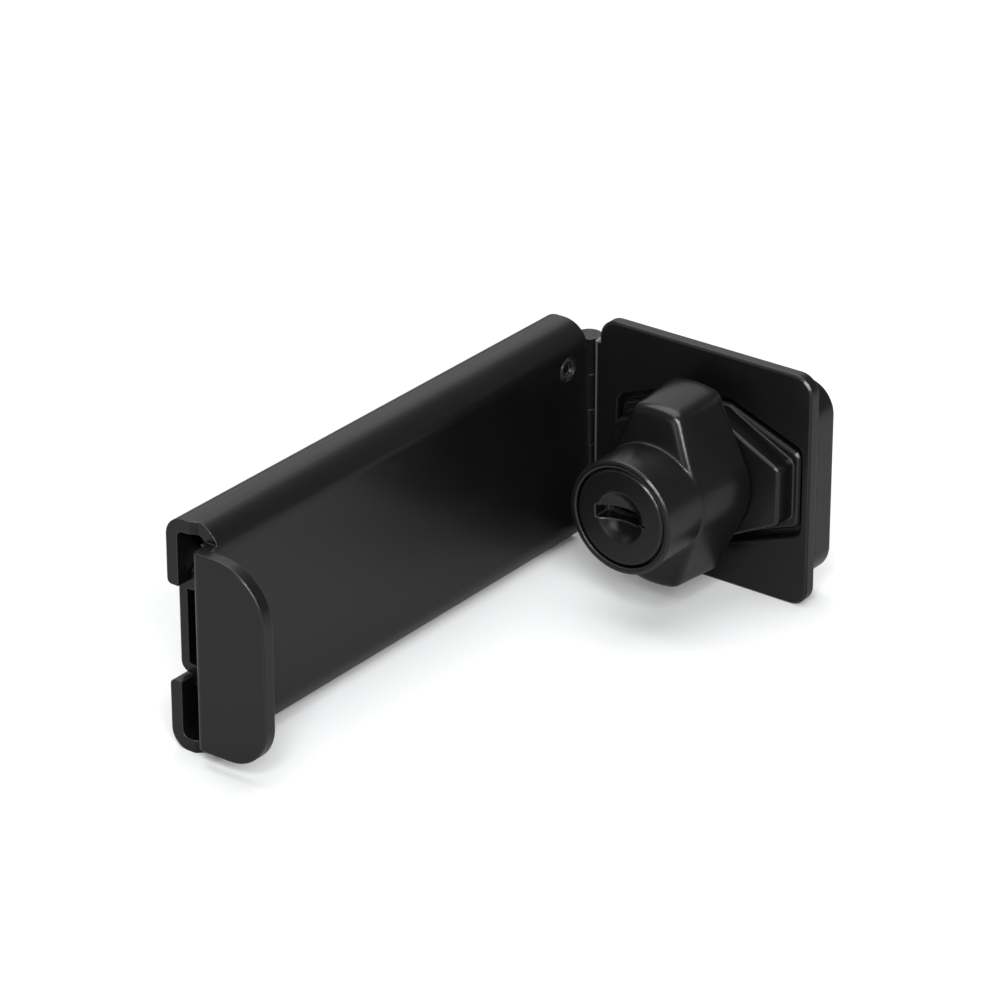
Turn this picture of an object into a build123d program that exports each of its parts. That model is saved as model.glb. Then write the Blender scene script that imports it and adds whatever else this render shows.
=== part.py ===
from build123d import *
import math
import os

# Keyed hasp lock for a sliding door, in millimetres.
# The origin lies on the knob's axis, on the back face of the lock base, where the base meets the door.
# +X runs away from the hinge, +Y into the door and +Z up. Heights above the door run along -Y.

# Hasp plate
plate_width = 42.9
plate_height = 42.0
plate_thick = 2.1
plate_corner = 3.4
plate_edge = 0.35
knob_off_centre = 1.15

# Slot in the hasp plate, a long octagon
slot_end_land = 1.6
slot_end_half = 7.9
slot_flat_half = 3.9
slot_half_height = 13.4
slot_corner = 2.2
slot_edge = 0.25

# Lock base, with the pad that fills the slot and the boss that carries the knob
base_thick = 5.0
base_beyond_slot = 1.4
base_half_height = 17.6
base_corner = 5.5
base_edge = 0.4
pad_end_gap = 0.65
pad_side_gap = 1.3
pad_sunk = 0.3
pad_corner = 1.6
pad_edge = 0.4
boss_end_ledge = 1.2
boss_corner_ledge = 1.4
boss_side_ledge = 0.4
boss_height = 4.1
boss_taper = 4.0
boss_corner = 1.6
boss_edge = 0.3
base_screw_from_end = 5.3
base_screw_up = 26.0
base_screw_hole = 4.0
base_screw_head = 6.6

# Knob
knob_length = 21.4
knob_gap = 0.3
knob_turn = 90.0
neck_radius = 10.05
neck_length = 8.3
neck_root = 2.0
neck_edge = 0.3
body_radius = 11.5
wing_half_width = 5.6
wing_end_radius = 17.1
wing_front_half_width = 5.0
wing_front_end_radius = 16.2
wing_corner = 2.2
wing_front_slant = 11.0
wing_front_edge = 1.7
knob_rear_edge = 0.4

# Spindle that carries the knob through the base, and what holds it there
hub_radius = 6.5
running_gap = 0.05
seat_gap = 0.05
tail_radius = 5.0
tail_clear_of_door = 0.4
back_recess_radius = 10.0
back_recess_depth = 3.4
spring_washer_rise = 0.7
spring_washer_thick = 0.35
washer_radius = 9.0
washer_thick = 0.7
clip_radius = 7.4
clip_thick = 0.8
clip_groove_depth = 0.9
clip_mouth_half = 2.6

# Lock plug
plug_head_radius = 8.45
plug_head_gap = 0.45
plug_head_thick = 2.2
plug_head_sunk = 0.1
plug_head_edge = 0.25
plug_radius = 6.0
plug_length = 17.4
keyway_width = 8.1
keyway_height = 2.3
keyway_off_centre = 0.95
keyway_depth = 15.6
ward_length = 1.9
ward_height = 0.6
ward_low = 0.35
scoop_radius = 4.5
scoop_depth = 1.6

# Wafers, which slide across the plug
wafer_count = 5
wafer_thick = 1.0
wafer_pitch = 2.2
wafer_first = 1.8
wafer_height = 5.0
wafer_play = 0.1
wafer_window_height = 2.8
wafer_window_length = 7.2
wafer_window_start = 4.5
wafer_cut_step = 0.35
retainer_from_last = 2.6
retainer_reach = 0.7

# Lock bolt, pushed out by the crank pin on the plug's tail
crank_radius = 1.5
crank_pin_radius = 0.7
crank_play = 0.15
bolt_half_width = 3.0
bolt_nose_half_width = 2.0
bolt_nose_length = 2.3
bolt_thick = 2.4
bolt_tail = 3.4
bolt_play = 0.1
bolt_clear = 0.2
bolt_bite = 0.85
stop_pin_radius = 1.1
stop_pin_circle = 9.7
stop_pin_depth = 4.0
stop_pin_reach = 1.4
stop_play = 0.15

# Hinge between hasp plate and arm
barrel_radius = 2.2
hinge_set_back = 1.9
hinge_to_plate_edge = 3.5
hinge_lip_gap = 0.15
hinge_lip_edge = 0.7
web_sunk = 0.6
knuckle_count = 5
knuckle_length = 6.4
knuckle_gap = 0.2
hinge_pin_radius = 1.1

# Arm, a channel folded from one sheet, with a finger tab at its free end
arm_sheet = 2.2
arm_depth = 9.9
arm_height = 40.8
arm_length = 98.4
arm_from_plate = 1.0
arm_front_bend = 5.0
arm_back_bend = 3.4
return_gap = 16.9
return_corner = 0.9
tab_reach = 12.1
tab_top_notch = 3.2
tab_bottom_notch = 3.0
tab_stand_off = 3.2
tab_bend = 1.2
tab_top_corner = 9.6
tab_bottom_corner = 7.6
tab_edge = 0.2
end_step_from_face = 5.3
end_step_ramp = 1.3
end_step_depth = 1.0
rivet_from_end = 5.8
rivet_below_top = 6.4
rivet_radius = 1.5
rivet_head_radius = 2.15
rivet_dish_radius = 1.35
rivet_dish = 0.45
rivet_rim = 0.25
rivet_collar_radius = 1.95
rivet_collar_thick = 0.8
rivet_collar_gap = 0.1
rivet_clear_of_return = 0.3

# Mounting plate that the arm slides on
mount_sheet = 1.6
mount_length = 80.0
mount_from_end = 3.0
mount_play = 0.2
mount_proud = 0.2
mount_outer_bend = 1.8
mount_inner_bend = 0.3
mount_hole = 4.4
mount_hole_spread = 56.0
mount_slot_length = 10.0
mount_corner = 7.0

# Heights above the door
plate_front = base_thick + plate_thick
pad_top = plate_front - pad_sunk
boss_top = pad_top + boss_height
knob_rear = boss_top + knob_gap
knob_front = knob_rear + knob_length
neck_line = knob_front - neck_length
plug_front = knob_front - plug_head_sunk
plug_head_back = plug_front - plug_head_thick
plug_back = plug_front - plug_length
washer_top = back_recess_depth - spring_washer_rise
clip_top = washer_top - washer_thick
clip_bottom = clip_top - clip_thick

# The knob's place in the plate, and half lengths of the slot and the base, all set by the plate's width
knob_from_hinge_edge = plate_width / 2 + knob_off_centre
slot_half_length = plate_width - knob_from_hinge_edge - slot_end_land
base_half_length = slot_half_length + base_beyond_slot
base_screw_across = 2 * (base_half_length - base_screw_from_end)

# Sizes of the pad and the boss, stepped in from the slot
pad_half_length = slot_half_length - pad_end_gap
pad_end_half = slot_end_half - pad_side_gap
pad_half_height = slot_half_height - pad_side_gap
boss_half_length = pad_half_length - boss_end_ledge
boss_end_half = pad_end_half - boss_corner_ledge
boss_half_height = pad_half_height - boss_side_ledge

# The crank pin swings as far below the bolt's middle position as above it
bolt_travel = 2 * crank_radius * math.sin(math.radians(knob_turn / 2))
bolt_tip = hub_radius - bolt_clear
bolt_ring_radius = bolt_tip + bolt_travel - bolt_bite
bolt_notch_radius = bolt_tip + bolt_travel + bolt_clear
bolt_front = boss_top - bolt_play
bolt_back = bolt_front - bolt_thick
pocket_floor = bolt_back - bolt_play
crank_angle = -knob_turn / 2
crank_x = crank_radius * math.cos(math.radians(crank_angle))
crank_z = crank_radius * math.sin(math.radians(crank_angle))
stop_angle = -knob_turn / 2
stop_groove_radius = stop_pin_radius + stop_play
stop_groove_floor = knob_rear - stop_pin_reach - stop_play

# Hinge axis and the planes of the arm
plate_edge_x = -knob_from_hinge_edge
hinge_x = plate_edge_x - hinge_to_plate_edge
hinge_height = plate_front - hinge_set_back
knuckle_step = knuckle_length + knuckle_gap
barrel_length = knuckle_count * knuckle_step - knuckle_gap
arm_face = hinge_x + hinge_set_back
arm_inner_face = arm_face - arm_sheet
arm_back = arm_face - arm_depth
floor_z = -plate_height / 2
arm_mid_z = floor_z + arm_height / 2
arm_top_z = floor_z + arm_height
arm_start = plate_front + arm_from_plate
arm_end = arm_start + arm_length
tab_front = arm_end + tab_stand_off
tab_low = floor_z + tab_bottom_notch
tab_high = arm_top_z - tab_top_notch
rivet_height = arm_start + rivet_from_end
rivet_z = arm_top_z - rivet_below_top

# Planes of the mounting plate's crown and flanges
crown_x = arm_back - mount_proud
crown_half = return_gap / 2 - mount_play
flange_x = arm_back + arm_sheet + mount_play
flange_half = arm_height / 2 - arm_back_bend
mount_start = arm_end - mount_from_end - mount_length
mount_middle = mount_start + mount_length / 2

os.makedirs("parts", exist_ok=True)


def front(height):
    """Plane parallel to the door at this height above it, seen from the front."""
    return Plane.XZ.offset(height)


def save(piece, name):
    """Names a finished piece and writes it."""
    piece.part.label = name
    export_step(piece.part, f"parts/{name}.step")


def octagon(half_length, end_half, half_height, corner):
    """Long octagon with upright ends and rounded corners."""
    right = [(half_length, end_half), (slot_flat_half, half_height)]
    upper = right + [(-x, y) for x, y in reversed(right)]
    lower = [(-x, -y) for x, y in upper]
    with BuildSketch() as shape:
        with BuildLine():
            Polyline(*upper, *lower, close=True)
        make_face()
        fillet(shape.vertices(), radius=corner)
    return shape.sketch


def winged(radius, half_width, end_radius):
    """Disc with two opposite wings: straight sides from the disc to rounded corners, and arched ends."""
    corner_x = half_width - wing_corner
    corner_reach = end_radius - wing_corner
    corner_y = math.sqrt(corner_reach**2 - corner_x**2)
    arch = math.degrees(math.atan2(corner_y, corner_x))
    side = arch - math.degrees(math.acos((radius - wing_corner) / corner_reach))
    lean = (math.cos(math.radians(side)), math.sin(math.radians(side)))
    with BuildSketch() as shape:
        with BuildLine():
            Line(
                (radius * lean[0], radius * lean[1]),
                (corner_x + wing_corner * lean[0], corner_y + wing_corner * lean[1]),
            )
            CenterArc((corner_x, corner_y), wing_corner, side, arch - side)
            mirror(about=Plane.YZ)
            mirror(about=Plane.XZ)
            for half_turn in (0, 180):
                CenterArc((0, 0), radius, half_turn - side, 2 * side)
                CenterArc((0, 0), end_radius, half_turn + arch, 180 - 2 * arch)
        make_face()
    return shape.sketch


def knuckles(first, web_corner, web_width, web_depth):
    """Every second knuckle of the hinge barrel, each with the web that runs on into its sheet."""
    with BuildPart() as barrel:
        for index in range(first, knuckle_count, 2):
            with BuildSketch(Plane.XY.offset(index * knuckle_step - barrel_length / 2)):
                with Locations((hinge_x, -hinge_height)):
                    Circle(barrel_radius)
                with Locations(web_corner):
                    Rectangle(web_width, web_depth, align=(Align.MIN, Align.MIN))
            extrude(amount=knuckle_length)
    return barrel.part


slot_shape = octagon(slot_half_length, slot_end_half, slot_half_height, slot_corner)
pad_shape = octagon(pad_half_length, pad_end_half, pad_half_height, pad_corner)
boss_shape = octagon(boss_half_length, boss_end_half, boss_half_height, boss_corner)
knob_rear_shape = winged(body_radius, wing_half_width, wing_end_radius)
knob_front_shape = winged(neck_radius, wing_front_half_width, wing_front_end_radius)

# Lock base: a casting screwed to the door, stepped to fill the slot and carry the knob
with BuildPart() as lock_base:
    with BuildSketch(front(0)):
        RectangleRounded(2 * base_half_length, 2 * base_half_height, base_corner)
    extrude(amount=base_thick)
    chamfer(lock_base.faces().sort_by(Axis.Y)[0].edges(), length=base_edge)
    with BuildSketch(front(base_thick)):
        add(pad_shape)
    extrude(amount=pad_top - base_thick)
    chamfer(lock_base.faces().sort_by(Axis.Y)[0].edges(), length=pad_edge)
    with BuildSketch(front(pad_top)):
        add(boss_shape)
    extrude(amount=boss_height, taper=boss_taper)
    chamfer(lock_base.faces().sort_by(Axis.Y)[0].edges(), length=boss_edge)
    # Four countersunk screw holes, covered by the hasp plate when the lock is shut
    with Locations(front(base_thick)):
        with GridLocations(base_screw_across, base_screw_up, 2, 2):
            CounterSinkHole(base_screw_hole / 2, base_screw_head / 2)
    # Bore for the knob's spindle, and the recess behind it for the washers and the clip
    with BuildSketch(front(0)):
        Circle(hub_radius + running_gap)
    extrude(amount=boss_top, mode=Mode.SUBTRACT)
    with BuildSketch(front(0)):
        Circle(back_recess_radius)
    extrude(amount=back_recess_depth, mode=Mode.SUBTRACT)
    # Ring that clears the drawn bolt, with a notch for the thrown bolt at each end of the turn
    with BuildSketch(front(pocket_floor)):
        Circle(bolt_ring_radius)
        with PolarLocations(bolt_notch_radius / 2, 2, start_angle=90, angular_range=2 * knob_turn):
            Rectangle(bolt_notch_radius, 2 * (bolt_nose_half_width + bolt_clear))
    extrude(amount=boss_top - pocket_floor, mode=Mode.SUBTRACT)
    # Groove in which the stop pin runs from one end of the knob's turn to the other
    with BuildSketch(front(stop_groove_floor)):
        SlotArc(CenterArc((0, 0), stop_pin_circle, stop_angle, knob_turn), 2 * stop_groove_radius)
    extrude(amount=boss_top - stop_groove_floor, mode=Mode.SUBTRACT)
save(lock_base, "lock_base")

# Hasp plate: flat sheet with the slot. Its hinge edge has a lip close to the barrel, and three
# knuckles joined to the sheet below the lip's rounded edge.
plate_web_corner = (hinge_x, web_sunk + hinge_lip_edge - plate_front)
plate_web_width = hinge_to_plate_edge + plate_corner
plate_web_depth = plate_thick - web_sunk - hinge_lip_edge
lip_x = hinge_x + barrel_radius + hinge_lip_gap
lip_reach = plate_edge_x + plate_corner - lip_x
with BuildPart() as hasp_plate:
    with BuildSketch(front(base_thick)):
        with Locations((plate_edge_x + plate_width / 2, 0)):
            RectangleRounded(plate_width, plate_height, plate_corner)
    extrude(amount=plate_thick)
    chamfer(hasp_plate.faces().sort_by(Axis.Y)[0].edges(), length=plate_edge)
    with BuildSketch(front(base_thick)):
        add(slot_shape)
    extrude(amount=plate_thick, mode=Mode.SUBTRACT)
    chamfer(hasp_plate.faces().sort_by(Axis.Y)[0].inner_wires()[0].edges(), length=slot_edge)
    with BuildSketch(front(base_thick)):
        with Locations((lip_x, 0)):
            Rectangle(lip_reach, barrel_length, align=(Align.MIN, Align.CENTER))
    extrude(amount=plate_thick)
    lip_edges = hasp_plate.edges().filter_by(Axis.Z).group_by(Axis.X)[0]
    fillet(lip_edges.sort_by(Axis.Y)[0], radius=hinge_lip_edge)
    add(knuckles(0, plate_web_corner, plate_web_width, plate_web_depth))
    with BuildSketch(Plane.XY.offset(-barrel_length / 2)):
        with Locations((hinge_x, -hinge_height)):
            Circle(hinge_pin_radius + running_gap)
    extrude(amount=barrel_length, mode=Mode.SUBTRACT)
save(hasp_plate, "hasp_plate")

# Hinge pin, through all the knuckles and flush with the outer two
with BuildPart() as hinge_pin:
    with BuildSketch(Plane.XY.offset(-barrel_length / 2)):
        with Locations((hinge_x, -hinge_height)):
            Circle(hinge_pin_radius)
    extrude(amount=barrel_length)
save(hinge_pin, "hinge_pin")

# Knob: round neck, winged body and spindle in one casting, hollow for the lock plug
slope_start = neck_radius - wing_front_edge
slope_end = wing_end_radius + wing_corner
slope_drop = (slope_end - slope_start) * math.tan(math.radians(wing_front_slant))
retainer_height = plug_head_back - wafer_first - (wafer_count - 1) * wafer_pitch - retainer_from_last
with BuildPart() as knob:
    with BuildSketch(front(knob_rear)):
        add(knob_rear_shape)
    with BuildSketch(front(neck_line)):
        add(knob_front_shape)
    loft()
    chamfer(knob.faces().sort_by(Axis.Y)[-1].edges(), length=knob_rear_edge)
    # The wings' front faces slope back from the neck, with a rounded edge all round them
    with BuildSketch(Plane.XY):
        with BuildLine():
            Polyline(
                (slope_start, -neck_line),
                (slope_end, -neck_line),
                (slope_end, slope_drop - neck_line),
                close=True,
            )
        make_face()
    revolve(axis=Axis.Y, mode=Mode.SUBTRACT)
    slope = knob.faces().filter_by(GeomType.CONE).sort_by(SortBy.AREA)[-1]
    fillet(slope.outer_wire().edges(), radius=wing_front_edge)
    with BuildSketch(front(knob_front)):
        Circle(neck_radius)
    extrude(amount=-neck_length - neck_root)
    chamfer(knob.faces().sort_by(Axis.Y)[0].edges(), length=neck_edge)
    # Spindle: hub in the base's bore, then the thinner tail with the clip's groove
    with BuildSketch(front(back_recess_depth + seat_gap)):
        Circle(hub_radius)
    extrude(amount=knob_rear - back_recess_depth)
    with BuildSketch(front(tail_clear_of_door)):
        Circle(tail_radius)
    extrude(amount=knob_rear - tail_clear_of_door)
    with BuildSketch(front(clip_bottom)):
        Circle(tail_radius)
        Circle(tail_radius - clip_groove_depth, mode=Mode.SUBTRACT)
    extrude(amount=clip_thick, mode=Mode.SUBTRACT)
    # Room for the plug: head recess, bore, and the groove that its retainer snaps into
    with BuildSketch(front(plug_head_back - seat_gap)):
        Circle(plug_head_radius + plug_head_gap)
    extrude(amount=plug_head_thick + plug_head_sunk + seat_gap, mode=Mode.SUBTRACT)
    with BuildSketch(front(plug_back - seat_gap)):
        Circle(plug_radius + running_gap)
    extrude(amount=plug_length, mode=Mode.SUBTRACT)
    with BuildSketch(front(retainer_height - wafer_thick / 2 - wafer_play)):
        Circle(plug_radius + retainer_reach + wafer_play)
    extrude(amount=wafer_thick + 2 * wafer_play, mode=Mode.SUBTRACT)
    # Way through for the crank pin, and the pocket that the bolt slides in, open at the top
    with BuildSketch(front(bolt_back)):
        Circle(crank_radius + crank_pin_radius + crank_play)
    extrude(amount=plug_back - bolt_back, mode=Mode.SUBTRACT)
    with BuildSketch(front(pocket_floor)):
        with Locations((0, -bolt_tail - bolt_play)):
            Rectangle(
                2 * (bolt_half_width + bolt_play),
                bolt_tail + bolt_play + hub_radius,
                align=(Align.CENTER, Align.MIN),
            )
    extrude(amount=bolt_thick + 2 * bolt_play, mode=Mode.SUBTRACT)
    # Blind hole for the stop pin
    with BuildSketch(front(knob_rear)):
        with PolarLocations(stop_pin_circle, 1, start_angle=stop_angle):
            Circle(stop_pin_radius)
    extrude(amount=stop_pin_depth, mode=Mode.SUBTRACT)
save(knob, "knob")

# Stop pin, driven into the knob's rear face
with BuildPart() as stop_pin:
    with BuildSketch(front(knob_rear - stop_pin_reach)):
        with PolarLocations(stop_pin_circle, 1, start_angle=stop_angle):
            Circle(stop_pin_radius)
    extrude(amount=stop_pin_depth + stop_pin_reach)
save(stop_pin, "stop_pin")

# Spring washer, a shallow cone that presses the knob home, with its rim against the base
with BuildPart() as spring_washer:
    with BuildSketch(Plane.XY):
        with BuildLine():
            Polyline(
                (tail_radius + running_gap, -washer_top),
                (tail_radius + running_gap, -washer_top - spring_washer_thick),
                (washer_radius, -back_recess_depth),
                (washer_radius, -back_recess_depth + spring_washer_thick),
                close=True,
            )
        make_face()
    revolve(axis=Axis.Y)
save(spring_washer, "spring_washer")

# Flat washer between the spring washer and the clip
with BuildPart() as knob_washer:
    with BuildSketch(front(clip_top)):
        Circle(washer_radius)
        Circle(tail_radius + running_gap, mode=Mode.SUBTRACT)
    extrude(amount=washer_thick)
save(knob_washer, "knob_washer")

# Clip in the spindle's groove, open at one side so that it can be pushed on
with BuildPart() as knob_clip:
    with BuildSketch(front(clip_bottom)):
        Circle(clip_radius)
        Circle(tail_radius - clip_groove_depth, mode=Mode.SUBTRACT)
        Rectangle(clip_radius, 2 * clip_mouth_half, align=(Align.MIN, Align.CENTER), mode=Mode.SUBTRACT)
    extrude(amount=clip_thick)
save(knob_clip, "knob_clip")

# Lock plug: head, barrel and crank pin in one piece, with the keyway and the wafers' slots
scoop_ball = (scoop_radius**2 + scoop_depth**2) / (2 * scoop_depth)
keyway_right = keyway_width / 2 - keyway_off_centre
wafer_heights = [plug_head_back - wafer_first - index * wafer_pitch for index in range(wafer_count)]
with BuildPart() as key_plug:
    with BuildSketch(front(plug_back)):
        Circle(plug_radius)
    extrude(amount=plug_length - plug_head_thick)
    with BuildSketch(front(plug_head_back)):
        Circle(plug_head_radius)
    extrude(amount=plug_head_thick)
    chamfer(key_plug.faces().sort_by(Axis.Y)[0].edges(), length=plug_head_edge)
    with Locations((0, scoop_depth - scoop_ball - plug_front, 0)):
        Sphere(scoop_ball, mode=Mode.SUBTRACT)
    with BuildSketch(front(plug_front - keyway_depth)):
        with Locations((-keyway_off_centre, 0)):
            Rectangle(keyway_width, keyway_height)
        with Locations((keyway_right, -ward_low)):
            Rectangle(ward_length, ward_height, align=(Align.MIN, Align.CENTER))
    extrude(amount=keyway_depth, mode=Mode.SUBTRACT)
    for height in wafer_heights + [retainer_height]:
        with BuildSketch(front(height - wafer_thick / 2 - wafer_play / 2)):
            Rectangle(2 * plug_radius, wafer_height + wafer_play)
        extrude(amount=wafer_thick + wafer_play, mode=Mode.SUBTRACT)
    with BuildSketch(front(bolt_back + bolt_play)):
        with Locations((crank_x, crank_z)):
            Circle(crank_pin_radius)
    extrude(amount=plug_back - bolt_back - bolt_play)
save(key_plug, "key_plug")

# Wafers, held level with the plug as the right key holds them, each window cut for its step of the key
for index, height in enumerate(wafer_heights):
    cut = wafer_cut_step * ((index * 2) % 3)
    with BuildPart() as wafer:
        with BuildSketch(front(height - wafer_thick / 2)):
            Circle(plug_radius - wafer_play)
            Rectangle(2 * plug_radius, wafer_height, mode=Mode.INTERSECT)
            with Locations((cut - wafer_window_start, 0)):
                Rectangle(
                    wafer_window_length,
                    wafer_window_height,
                    align=(Align.MIN, Align.CENTER),
                    mode=Mode.SUBTRACT,
                )
        extrude(amount=wafer_thick)
    save(wafer, f"wafer_{index + 1}")

# Retainer, a solid last wafer that snaps into the knob's groove and keeps the plug from coming out
with BuildPart() as plug_retainer:
    with BuildSketch(front(retainer_height - wafer_thick / 2)):
        Circle(plug_radius + retainer_reach)
        Rectangle(2 * (plug_radius + retainer_reach), wafer_height, mode=Mode.INTERSECT)
        with Locations((-plug_radius + wafer_play, 0)):
            Rectangle(plug_radius, wafer_height, align=(Align.MAX, Align.CENTER), mode=Mode.SUBTRACT)
        Rectangle(wafer_window_length, wafer_window_height, mode=Mode.SUBTRACT)
    extrude(amount=wafer_thick)
save(plug_retainer, "plug_retainer")

# Lock bolt: flat bar with a narrow nose, and a cross slot that the crank pin works in
crank_mid_x = (crank_x + crank_radius) / 2
crank_slot_length = crank_radius - crank_x + 2 * (crank_pin_radius + crank_play)
with BuildPart() as lock_bolt:
    with BuildSketch(front(bolt_back)):
        Circle(bolt_tip)
        with Locations((0, -bolt_tail)):
            Rectangle(
                2 * bolt_nose_half_width,
                bolt_tail + bolt_tip,
                align=(Align.CENTER, Align.MIN),
                mode=Mode.INTERSECT,
            )
        with Locations((0, -bolt_tail)):
            Rectangle(
                2 * bolt_half_width,
                bolt_tail + bolt_tip - bolt_nose_length,
                align=(Align.CENTER, Align.MIN),
            )
        with Locations((crank_mid_x, crank_z)):
            SlotOverall(crank_slot_length, 2 * (crank_pin_radius + crank_play), mode=Mode.SUBTRACT)
    extrude(amount=bolt_thick)
save(lock_bolt, "lock_bolt")

# Arm: channel with inward returns, tab bent off its front at the free end, two knuckles at the hinge
arm_web_corner = (arm_inner_face, -arm_start - arm_sheet)
arm_web_depth = arm_start + arm_sheet - hinge_height
with BuildPart() as arm_channel:
    with BuildSketch(front(arm_start)):
        with BuildLine():
            FilletPolyline(
                (arm_back, arm_mid_z + return_gap / 2),
                (arm_back, arm_top_z),
                (arm_face, arm_top_z),
                (arm_face, floor_z),
                (arm_back, floor_z),
                (arm_back, arm_mid_z - return_gap / 2),
                radius=[arm_back_bend, arm_front_bend, arm_front_bend, arm_back_bend],
            )
            offset(amount=arm_sheet, side=Side.RIGHT)
        make_face()
    extrude(amount=arm_length)
    back_edges = arm_channel.faces().filter_by(Axis.X).group_by(Axis.X)[0].edges().filter_by(Axis.Y)
    fillet(back_edges.sort_by(Axis.Z)[1:3], radius=return_corner)
    with BuildSketch(Plane.XY.offset(tab_low)) as tab:
        with Locations((arm_inner_face, -tab_front)):
            Rectangle(arm_sheet + tab_reach, arm_sheet, align=(Align.MIN, Align.MIN))
            Rectangle(arm_sheet, tab_stand_off, align=(Align.MIN, Align.MIN))
        fillet(tab.vertices().group_by(Axis.Y)[0].sort_by(Axis.X)[0], radius=tab_bend)
    extrude(amount=tab_high - tab_low)
    tab_end = arm_channel.faces().sort_by(Axis.X)[-1]
    tab_corners = tab_end.edges().filter_by(Axis.Y).sort_by(Axis.Z)
    fillet(tab_corners[-1], radius=tab_top_corner)
    tab_end = arm_channel.faces().filter_by(Axis.X).sort_by(Axis.X)[-1]
    tab_corners = tab_end.edges().filter_by(Axis.Y).sort_by(Axis.Z)
    fillet(tab_corners[0], radius=tab_bottom_corner)
    tab_rim = arm_channel.faces().sort_by(Axis.Y)[0].edges()
    chamfer(tab_rim.sort_by(Axis.X)[1:], length=tab_edge)
    # Above and below the tab's foot the end steps back, through a short ramp where the front bends begin
    step_start = arm_face - end_step_from_face
    for low, high in ((tab_high, arm_top_z), (floor_z, tab_low)):
        with BuildSketch(Plane.XY.offset(low)):
            with BuildLine():
                Polyline(
                    (step_start, -arm_end),
                    (step_start + end_step_ramp, end_step_depth - arm_end),
                    (arm_face, end_step_depth - arm_end),
                    (arm_face, -arm_end),
                    close=True,
                )
            make_face()
        extrude(amount=high - low, mode=Mode.SUBTRACT)
    add(knuckles(1, arm_web_corner, arm_sheet - web_sunk, arm_web_depth))
    with BuildSketch(Plane.XY.offset(-barrel_length / 2)):
        with Locations((hinge_x, -hinge_height)):
            Circle(hinge_pin_radius + running_gap)
    extrude(amount=barrel_length, mode=Mode.SUBTRACT)
    with Locations(Plane(origin=(arm_face, -rivet_height, rivet_z), x_dir=(0, 1, 0), z_dir=(1, 0, 0))):
        CounterSinkHole(rivet_radius, rivet_head_radius, depth=arm_sheet + rivet_collar_gap, counter_sink_angle=90)
save(arm_channel, "arm_channel")

# Rivet with a dished head set flush in the arm's face; its shank stops the mounting plate inside
rivet_end = arm_back + arm_sheet + rivet_clear_of_return
rivet_cone = rivet_head_radius - rivet_radius
rivet_collar_front = arm_inner_face - rivet_collar_gap
rivet_collar_back = rivet_collar_front - rivet_collar_thick
with BuildPart() as stop_rivet:
    with BuildSketch(Plane.XY.offset(rivet_z)):
        with BuildLine():
            Polyline(
                (rivet_end, -rivet_height),
                (rivet_end, rivet_radius - rivet_height),
                (rivet_collar_back, rivet_radius - rivet_height),
                (rivet_collar_back, rivet_collar_radius - rivet_height),
                (rivet_collar_front, rivet_collar_radius - rivet_height),
                (rivet_collar_front, rivet_radius - rivet_height),
                (arm_face - rivet_cone, rivet_radius - rivet_height),
                (arm_face - rivet_rim, rivet_head_radius - rivet_rim - rivet_height),
                (arm_face, rivet_head_radius - 2 * rivet_rim - rivet_height),
                (arm_face, rivet_dish_radius - rivet_height),
                (arm_face - rivet_dish, rivet_dish_radius - rivet_dish - rivet_height),
                (arm_face - rivet_dish, -rivet_height),
                close=True,
            )
        make_face()
    revolve(axis=Axis((arm_face, -rivet_height, rivet_z), (1, 0, 0)))
save(stop_rivet, "stop_rivet")

# Mounting plate: folded hat section that is screwed to the frame, and that the arm slides on
mount_plane = Plane(origin=(crown_x, -mount_middle, arm_mid_z), x_dir=(0, -1, 0), z_dir=(-1, 0, 0))
with BuildPart() as mounting_plate:
    with BuildSketch(front(mount_start)):
        with BuildLine():
            FilletPolyline(
                (flange_x, arm_mid_z + flange_half),
                (flange_x, arm_mid_z + crown_half),
                (crown_x, arm_mid_z + crown_half),
                (crown_x, arm_mid_z - crown_half),
                (flange_x, arm_mid_z - crown_half),
                (flange_x, arm_mid_z - flange_half),
                radius=[mount_inner_bend, mount_outer_bend, mount_outer_bend, mount_inner_bend],
            )
            offset(amount=mount_sheet, side=Side.LEFT)
        make_face()
    extrude(amount=mount_length)
    flange_ends = mounting_plate.edges().filter_by(Axis.X).group_by(Axis.Z)
    chamfer(flange_ends[0] + flange_ends[-1], length=mount_corner)
    with BuildSketch(mount_plane):
        with GridLocations(mount_hole_spread, 1, 2, 1):
            Circle(mount_hole / 2)
        SlotOverall(mount_slot_length, mount_hole)
    extrude(amount=-mount_sheet, mode=Mode.SUBTRACT)
save(mounting_plate, "mounting_plate")
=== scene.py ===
import math

import bpy
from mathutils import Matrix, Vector


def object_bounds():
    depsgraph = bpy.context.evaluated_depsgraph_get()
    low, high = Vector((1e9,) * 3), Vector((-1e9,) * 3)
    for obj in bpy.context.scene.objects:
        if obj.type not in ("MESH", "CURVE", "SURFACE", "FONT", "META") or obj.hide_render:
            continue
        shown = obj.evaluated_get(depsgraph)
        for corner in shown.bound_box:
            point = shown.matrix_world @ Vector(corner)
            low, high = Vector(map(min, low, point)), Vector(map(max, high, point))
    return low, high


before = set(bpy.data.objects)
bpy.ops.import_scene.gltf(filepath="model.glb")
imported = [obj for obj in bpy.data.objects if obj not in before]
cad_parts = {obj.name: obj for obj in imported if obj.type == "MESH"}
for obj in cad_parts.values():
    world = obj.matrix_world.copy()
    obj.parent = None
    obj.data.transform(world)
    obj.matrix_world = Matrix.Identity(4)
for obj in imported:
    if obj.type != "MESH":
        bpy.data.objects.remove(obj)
cad_box = [list(corner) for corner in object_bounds()]


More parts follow.
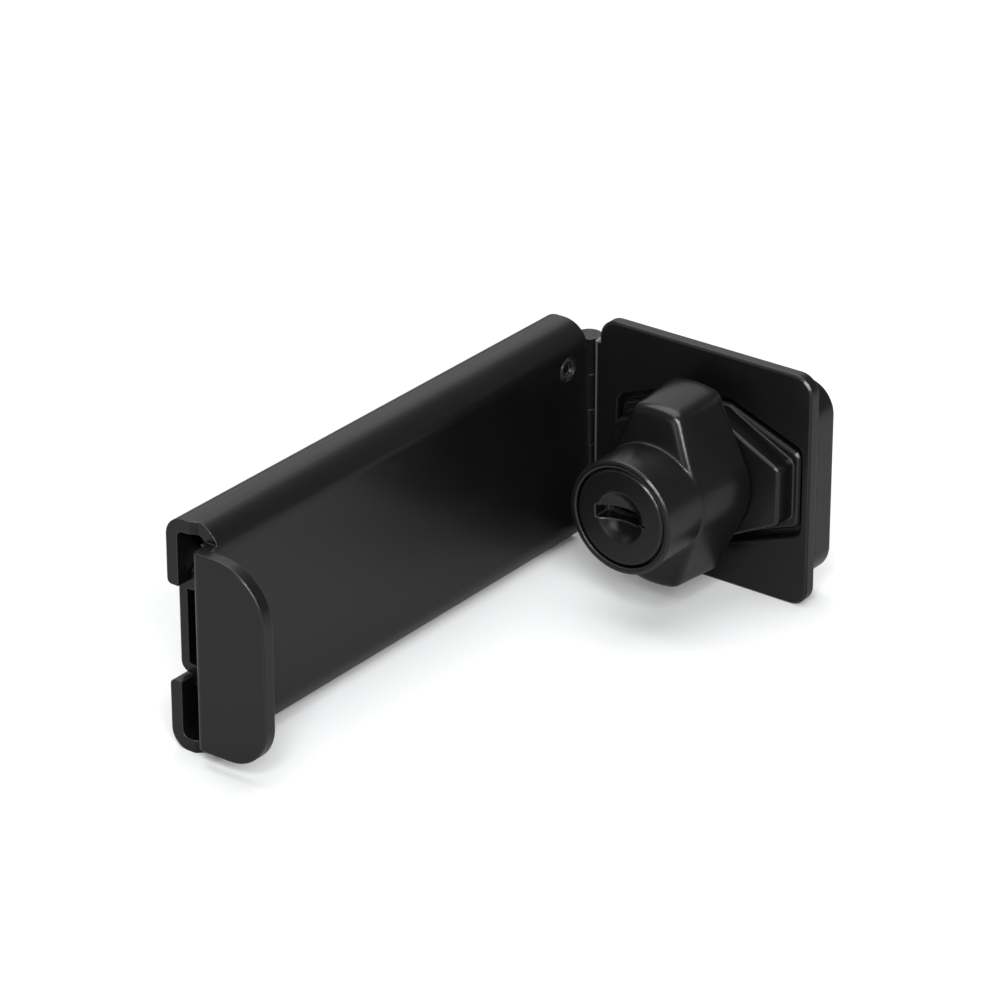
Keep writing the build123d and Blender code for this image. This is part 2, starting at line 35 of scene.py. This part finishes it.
# Camera: stands to the right of the knob and a little above it, and looks down along the arm.
# A long lens from about 80 cm away, as for a product photograph.
camera_place = (0.41304, -0.61780, 0.35124)
camera_turn = math.radians(36.785)
camera_tilt = math.radians(25.915)
lens = bpy.data.cameras.new("camera")
lens.lens = 175.03
lens.sensor_width = 36.0
lens.clip_start = 0.05
lens.clip_end = 20.0
camera = bpy.data.objects.new("camera", lens)
camera.location = camera_place
camera.rotation_euler = (math.pi / 2 - camera_tilt, 0.0, camera_turn)
bpy.context.scene.collection.objects.link(camera)
bpy.context.scene.camera = camera
bpy.context.scene.view_settings.view_transform = "Standard"


# Finishes: each is one node tree. A Value is a number that varies over the surface, and
# ordinary arithmetic on it adds the Math nodes.
class Value:
    def __init__(self, finish, socket):
        self.finish = finish
        self.socket = socket

    def math(self, operation, *terms):
        settings = {"operation": operation}
        made = self.finish.node("ShaderNodeMath", settings, dict(enumerate(terms)))
        return Value(self.finish, made.outputs[0])

    def __add__(self, other):
        return self.math("ADD", self, other)

    def __radd__(self, other):
        return self.math("ADD", other, self)

    def __sub__(self, other):
        return self.math("SUBTRACT", self, other)

    def __rsub__(self, other):
        return self.math("SUBTRACT", other, self)

    def __mul__(self, other):
        return self.math("MULTIPLY", self, other)

    def __abs__(self):
        return self.math("ABSOLUTE", self)

    def within(self, low, high):
        """0 below low, 1 above high, straight between."""
        sockets = {"Value": self, "From Min": low, "From Max": high}
        made = self.finish.node("ShaderNodeMapRange", {}, sockets)
        return Value(self.finish, made.outputs[0])


class Finish:
    def __init__(self, name, world=None):
        self.material = world or bpy.data.materials.new(name)
        self.material.use_nodes = True
        self.tree = self.material.node_tree
        self.surface = self.tree.nodes["Background" if world else "Principled BSDF"]
        self.place = self.node("ShaderNodeTexCoord", {}, {}).outputs["Object"]

    def fill(self, socket, value):
        """Link what varies to a socket, or write a constant on it."""
        source = value.socket if isinstance(value, Value) else value
        if isinstance(source, bpy.types.NodeSocket):
            self.tree.links.new(source, socket)
        else:
            socket.default_value = source

    def node(self, kind, settings, sockets):
        made = self.tree.nodes.new(kind)
        for key, value in settings.items():
            setattr(made, key, value)
        for key, value in sockets.items():
            self.fill(made.inputs[key], value)
        return made

    def along(self, axis):
        """Distance from the frame's origin along one axis."""
        apart = self.node("ShaderNodeSeparateXYZ", {}, {0: self.place})
        return Value(self, apart.outputs[axis])

    def noise(self, scale, detail=2.0, stretch=None):
        place = self.place
        if stretch is not None:
            sockets = {"Vector": place, "Scale": stretch}
            place = self.node("ShaderNodeMapping", {}, sockets).outputs[0]
        sockets = {"Vector": place, "Scale": scale, "Detail": detail}
        return Value(self, self.node("ShaderNodeTexNoise", {}, sockets).outputs["Fac"])

    def mix(self, factor, first, second):
        made = self.node("ShaderNodeMix", {"data_type": "RGBA"}, {"Factor": factor})
        for key, value in (("A", first), ("B", second)):
            socket = [s for s in made.inputs if s.name == key and s.type == "RGBA"][0]
            colour = value if isinstance(value, bpy.types.NodeSocket) else (*value, 1.0)
            self.fill(socket, colour)
        return [s for s in made.outputs if s.type == "RGBA"][0]

    def set(self, **sockets):
        for key, value in sockets.items():
            name = key.replace("_", " ").title().replace("Ior", "IOR")
            self.fill(self.surface.inputs[name], value)

    def rounding(self, radius):
        """Normal with rounded edges, and a mask that is 1 on an edge and 0 on a plain face."""
        edge_cosine, face_cosine = 0.90, 0.995
        rounded = self.node("ShaderNodeBevel", {"samples": 16}, {"Radius": radius}).outputs[0]
        facing = self.node("ShaderNodeNewGeometry", {}, {}).outputs["Normal"]
        settings = {"operation": "DOT_PRODUCT"}
        compare = self.node("ShaderNodeVectorMath", settings, {0: rounded, 1: facing})
        plain = Value(self, compare.outputs["Value"]).within(edge_cosine, face_cosine)
        return rounded, 1 - plain

    def relief(self, height, strength, distance, normal):
        sockets = {"Height": height, "Strength": strength, "Distance": distance, "Normal": normal}
        made = self.node("ShaderNodeBump", {}, sockets)
        self.fill(self.surface.inputs["Normal"], made.outputs[0])

    def cover(self, *nodes):
        for name in nodes:
            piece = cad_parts[name]
            piece.data.materials.clear()
            piece.data.materials.append(self.material)


# Floor: a large sheet of white card that keeps the latch's shadow. Far from the latch the
# camera sees it as plain white, and in black gloss it shows darker than it is.
floor_level = cad_box[0][2]
floor_width = 12.0
card_white = (0.93, 0.938, 0.945)
card_beside_latch = (0.86, 0.86, 0.87)
card_in_gloss = (0.36, 0.36, 0.365)
glow_near = 0.06
glow_starts, glow_full = 0.3, 0.75
bpy.ops.mesh.primitive_plane_add(size=floor_width, location=(0.0, 0.0, floor_level))
floor = bpy.context.object
floor.name = "floor"
card = Finish("white_card")
seen = card.node("ShaderNodeLightPath", {}, {}).outputs
mirrored = Value(card, seen["Is Glossy Ray"])
straight = Value(card, seen["Is Camera Ray"])
bounced = card.mix(mirrored, card_beside_latch, card_in_gloss)
card.set(
    base_color=card.mix(straight, bounced, card_white),
    roughness=0.9,
    specular_ior_level=0.0,
)
glow = card.node("ShaderNodeEmission", {}, {"Color": (1.0, 1.0, 1.0, 1.0), "Strength": 1.0})
length = card.node("ShaderNodeVectorMath", {"operation": "LENGTH"}, {0: card.place})
far = Value(card, length.outputs["Value"]).within(glow_starts, glow_full)
share = straight * (glow_near + far * (1 - glow_near))
sockets = {0: share, 1: card.surface.outputs[0], 2: glow.outputs[0]}
whiter = card.node("ShaderNodeMixShader", {}, sockets)
card.fill(card.tree.nodes["Material Output"].inputs["Surface"], whiter.outputs[0])
floor.data.materials.append(card.material)


# Studio light: a dim white room. The large soft box overhead lights the floor, the one behind
# on the left is mirrored by upward faces, and the small ones by the camera draw the edges.
room_light = 0.16
bpy.context.scene.world = bpy.data.worlds.new("studio")
room = Finish("studio", bpy.context.scene.world)
straight = Value(room, room.node("ShaderNodeLightPath", {}, {}).outputs["Is Camera Ray"])
room.set(color=(1.0, 1.0, 1.0, 1.0), strength=room_light + straight * (1 - room_light))


def soft_box(name, place, width, height, power):
    """Rectangular lamp at a place, turned to face the middle of the latch."""
    middle = Vector((0.0, -0.03, 0.0))
    lamp = bpy.data.lights.new(name, "AREA")
    lamp.shape = "RECTANGLE"
    lamp.size = width
    lamp.size_y = height
    lamp.energy = power
    stand = bpy.data.objects.new(name, lamp)
    stand.location = place
    stand.rotation_euler = (middle - Vector(place)).to_track_quat("-Z", "Y").to_euler()
    bpy.context.scene.collection.objects.link(stand)


soft_box("overhead", (-0.16, 0.04, 0.92), width=1.0, height=1.0, power=7.5)
soft_box("back_left", (-0.62, 0.80, 0.52), width=0.9, height=0.6, power=0.85)
soft_box("above_camera", (0.42, -0.84, 0.84), width=0.26, height=0.22, power=4.8)
soft_box("beside_camera", (0.68, -0.78, 0.70), width=0.26, height=0.26, power=4.0)
soft_box("right", (0.90, -0.68, 0.52), width=0.26, height=0.36, power=6.0)
soft_box("in_front", (-0.05, -1.5, 0.25), width=0.7, height=0.5, power=1.5)


# Arm, mounting plate and hinge pin: a channel folded from steel sheet, the folded plate that it
# slides on, and the pin through the knuckles. All have a satin black powder coat with a very fine
# grain, smoother along the edges, where a painted highlight makes them a little greyer.
def black_coat(finish, grain_scale, cloud_scale, roughness, softened, edge_highlight, highlight_strip=None):
    coat_deep = (0.0030, 0.0029, 0.0030)
    coat_thin = (0.0047, 0.0046, 0.0046)
    highlight_grey = (0.15, 0.145, 0.14)
    cloud_dulls, grain_dulls, edge_shines = 0.06, 0.03, 0.04
    grain = finish.noise(grain_scale, 3.0)
    cloud = finish.noise(cloud_scale)
    rounded, edge = finish.rounding(softened)
    # The edge colour is a painted highlight: edges lighter grey where they would catch the lamps.
    coat = finish.mix(edge, finish.mix(cloud, coat_deep, coat_thin), edge_highlight)
    # An optional strip painted lighter grey: a painted highlight.
    if highlight_strip is not None:
        coat = finish.mix(highlight_strip, coat, highlight_grey)
    finish.set(
        base_color=coat,
        roughness=roughness + cloud * cloud_dulls + grain * grain_dulls - edge * edge_shines,
        specular_ior_level=0.42,
        coat_weight=0.3,
        coat_roughness=0.18,
    )
    finish.relief(grain, strength=0.04, distance=0.00002, normal=rounded)


on_sheet = {"grain_scale": 9000.0, "cloud_scale": 90.0, "roughness": 0.27, "softened": 0.0003}
# Lighter grey painted on the sheet's edges as a painted highlight.
sheet_edge_highlight = (0.034, 0.033, 0.032)
sheet_black = Finish("sheet_black")
black_coat(sheet_black, **on_sheet, edge_highlight=sheet_edge_highlight)
sheet_black.cover("arm_channel", "mounting_plate", "hinge_pin")


# Hasp plate: flat steel sheet with a long slot, its edge rolled round the hinge pin. It has the
# arm's coat, with a painted highlight: lighter grey along the upright edge of its lip beside the
# hinge.
lip_starts = (-0.0240, -0.0238)
lip_ends = (-0.0233, -0.0229)
plate_black = Finish("plate_black")
across = plate_black.along("X")
# The lip's upright edge is painted lighter grey: a painted highlight.
lip_highlight = across.within(*lip_starts) * (1 - across.within(*lip_ends))
black_coat(plate_black, **on_sheet, edge_highlight=sheet_edge_highlight, highlight_strip=lip_highlight)
plate_black.cover("hasp_plate")


# Stop rivet: steel, set in the arm's face with its dished head flush. It is coated with the arm,
# and its pressed rim is painted lighter grey as a painted glint.
rivet_black = Finish("rivet_black")
# The rim's lighter grey is a painted glint.
black_coat(rivet_black, **on_sheet, edge_highlight=(0.12, 0.116, 0.112))
rivet_black.cover("stop_rivet")


# Lock base: a die-casting, screwed to the door behind the hasp plate. The same satin black on it
# is a little glossier than on sheet, and its cast edges are rounder.
on_casting = {"grain_scale": 7000.0, "cloud_scale": 140.0}
cast_roughness = 0.25
cast_rounding = 0.0006
# Lighter grey painted on the casting's edges as a painted highlight.
casting_edge_highlight = (0.026, 0.025, 0.025)
cast_black = Finish("cast_black")
black_coat(
    cast_black, **on_casting,
    roughness=cast_roughness, softened=cast_rounding, edge_highlight=casting_edge_highlight,
)
cast_black.cover("lock_base")


# Key plug: a die-casting that turns in the knob, with the keyway through its face. It has the
# base's coat, polished in the thumb hollow behind that face.
hollow_starts = (-0.0320, -0.0316)
polish_shines = 0.09
plug_black = Finish("plug_black")
polish = plug_black.along("Y").within(*hollow_starts)
black_coat(
    plug_black, **on_casting,
    roughness=cast_roughness - polish * polish_shines, softened=cast_rounding, edge_highlight=casting_edge_highlight,
)
plug_black.cover("key_plug")


# Knob: neck and wings are one die-casting, whose spindle turns in the lock base. Its edges are
# softer towards the ends of the wings than round the neck.
neck_rounding, wing_rounding = 0.0007, 0.0020
wings_start, wings_end = 0.0095, 0.0145
knob_black = Finish("knob_black")
along_wings = abs(knob_black.along("Z")).within(wings_start, wings_end)
softened = neck_rounding + along_wings * (wing_rounding - neck_rounding)
# The knob's edges are painted lighter grey as a painted highlight.
black_coat(
    knob_black, **on_casting,
    roughness=cast_roughness, softened=softened, edge_highlight=(0.022, 0.021, 0.021),
)
knob_black.cover("knob")


# Wafers and plug retainer: stamped from brass sheet, set in slots across the plug, and dark with
# use. Only grey glints of them show in the keyway.
wafer_brass = Finish("wafer_brass")
brass_dark, brass_bright = (0.34, 0.333, 0.32), (0.56, 0.545, 0.52)
marks = wafer_brass.noise(2500.0, stretch=(1.0, 1.0, 8.0))
wafer_brass.set(
    base_color=wafer_brass.mix(marks, brass_dark, brass_bright),
    roughness=0.34 + marks * 0.2,
    metallic=1.0,
)
wafer_brass.cover("wafer_1", "wafer_2", "wafer_3", "wafer_4", "wafer_5", "plug_retainer")


# Stop pin, washers, clip and bolt: zinc-plated steel, hidden in the knob and behind the lock
# base. They limit the knob's turn, hold its spindle, and lock it.
plain_steel = Finish("plain_steel")
steel_dark, steel_bright = (0.36, 0.36, 0.37), (0.5, 0.5, 0.51)
marks = plain_steel.noise(3000.0)
plain_steel.set(
    base_color=plain_steel.mix(marks, steel_dark, steel_bright),
    roughness=0.3 + marks * 0.18,
    metallic=1.0,
)
plain_steel.cover("stop_pin", "spring_washer", "knob_washer", "knob_clip", "lock_bolt")
